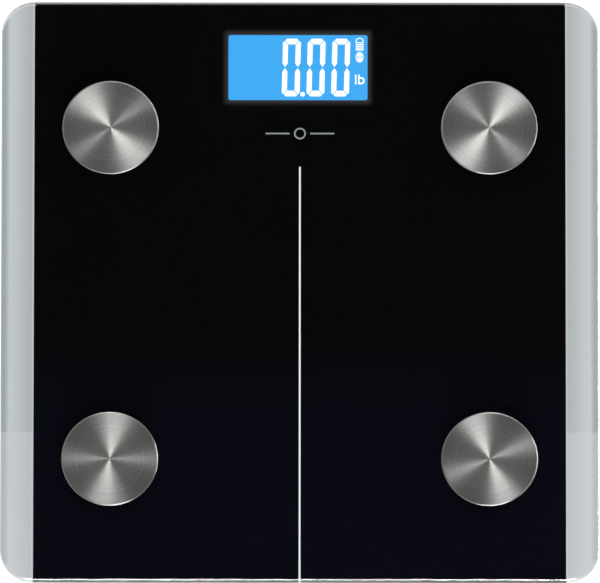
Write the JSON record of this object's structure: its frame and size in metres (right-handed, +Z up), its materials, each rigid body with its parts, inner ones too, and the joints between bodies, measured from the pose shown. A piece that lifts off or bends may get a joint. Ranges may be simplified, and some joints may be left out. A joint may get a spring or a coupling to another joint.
{
  "type": "digital bathroom scale",
  "caption": "Slim square digital bathroom scale: toughened-glass platform with round steel electrodes and a backlit display, on a moulded tray with four floating load-cell feet.",
  "frame": {"origin": "on the floor, at the middle of the platform", "axes": "+X to the right, +Y toward the display end, +Z up"},
  "size_m": [0.3, 0.3, 0.025],
  "materials": {
    "clear_glass": "polished toughened glass",
    "black_ink": "black printed film seen through the glass",
    "silver_ink": "silver printed film seen through the glass",
    "stainless": "lathe-brushed stainless steel",
    "adhesive": "acrylic adhesive film",
    "fibre_washer": "vulcanised fibre",
    "plated_brass": "tin-plated brass sheet",
    "plated_steel": "zinc-plated steel",
    "foam_tape": "white closed-cell foam tape",
    "tray_plastic": "black spark-eroded ABS",
    "foot_plastic": "black moulded ABS",
    "pad_rubber": "dark grey anti-slip rubber",
    "cell_steel": "nickel-plated spring steel",
    "gauge_sealant": "white silicone sealant",
    "retainer_plastic": "natural ABS",
    "board_green": "glass-epoxy board with green solder resist",
    "chip_black": "moulded epoxy",
    "socket_plastic": "natural nylon",
    "holder_plastic": "white ABS",
    "backlight": "lit acrylic light guide",
    "contact_rubber": "striped conductive elastomer",
    "lcd_blue": "lit liquid-crystal glass",
    "button_plastic": "grey moulded ABS",
    "cell_can": "printed sleeve on a steel can",
    "lead_red": "red PVC insulation",
    "lead_black": "black PVC insulation"
  },
  "bodies": {
    "scale_base": {"glass_platform": "clear_glass", "black_print": "black_ink", "silver_band_left": "silver_ink", "silver_band_right": "silver_ink", "centre_line": "silver_ink", "electrode_adhesive": "adhesive", "stud_washers": "fibre_washer", "ring_terminals": "plated_brass", "stud_nuts": "plated_steel", "foam_tape": "foam_tape", "base_tray": "tray_plastic", "strain_gauges": "gauge_sealant", "retainer_screws": "plated_steel", "circuit_board": "board_green", "board_screws": "plated_steel", "controller_chip": "chip_black", "radio_module": "plated_steel", "lead_sockets": "socket_plastic", "unit_switch": "chip_black", "lcd_holder": "holder_plastic", "backlight_panel": "backlight", "contact_strip": "contact_rubber", "lcd_panel": "lcd_blue", "battery_springs": "plated_steel", "battery_plates": "plated_steel", "battery_leads": "lead_red", "battery_1": "cell_can", "battery_2": "cell_can", "battery_3": "cell_can", "electrode_front_left": "stainless", "load_cell_front_left": "cell_steel", "cell_retainer_front_left": "retainer_plastic", "cell_lead_front_left": "lead_red", "electrode_lead_front_left": "lead_black", "electrode_front_right": "stainless", "load_cell_front_right": "cell_steel", "cell_retainer_front_right": "retainer_plastic", "cell_lead_front_right": "lead_red", "electrode_lead_front_right": "lead_black", "electrode_rear_left": "stainless", "load_cell_rear_left": "cell_steel", "cell_retainer_rear_left": "retainer_plastic", "cell_lead_rear_left": "lead_red", "electrode_lead_rear_left": "lead_black", "electrode_rear_right": "stainless", "load_cell_rear_right": "cell_steel", "cell_retainer_rear_right": "retainer_plastic", "cell_lead_rear_right": "lead_red", "electrode_lead_rear_right": "lead_black"},
    "foot_front_left": {"foot_shell_front_left": "foot_plastic", "foot_pad_front_left": "pad_rubber"},
    "foot_front_right": {"foot_shell_front_right": "foot_plastic", "foot_pad_front_right": "pad_rubber"},
    "foot_rear_left": {"foot_shell_rear_left": "foot_plastic", "foot_pad_rear_left": "pad_rubber"},
    "foot_rear_right": {"foot_shell_rear_right": "foot_plastic", "foot_pad_rear_right": "pad_rubber"},
    "battery_door": {"battery_door": "tray_plastic"},
    "unit_button": {"unit_button": "button_plastic"}
  },
  "joints": [
    {"name": "foot_float_front_left", "type": "slide", "parent": "scale_base", "child": "foot_front_left", "axis": [0, 0, 1], "range_m": [-0.0005, 0]},
    {"name": "foot_float_front_right", "type": "slide", "parent": "scale_base", "child": "foot_front_right", "axis": [0, 0, 1], "range_m": [-0.0005, 0]},
    {"name": "foot_float_rear_left", "type": "slide", "parent": "scale_base", "child": "foot_rear_left", "axis": [0, 0, 1], "range_m": [-0.0005, 0]},
    {"name": "foot_float_rear_right", "type": "slide", "parent": "scale_base", "child": "foot_rear_right", "axis": [0, 0, 1], "range_m": [-0.0005, 0]},
    {"name": "battery_door_hinge", "type": "hinge", "parent": "scale_base", "child": "battery_door", "pos_m": [0, -0.0192, 0.004], "axis": [-1, 0, 0], "range_deg": [0, 100]},
    {"name": "unit_button_press", "type": "slide", "parent": "scale_base", "child": "unit_button", "axis": [0, 0, 1], "range_m": [0, 0.0006], "stiffness_N_per_m": 2000}
  ]
}
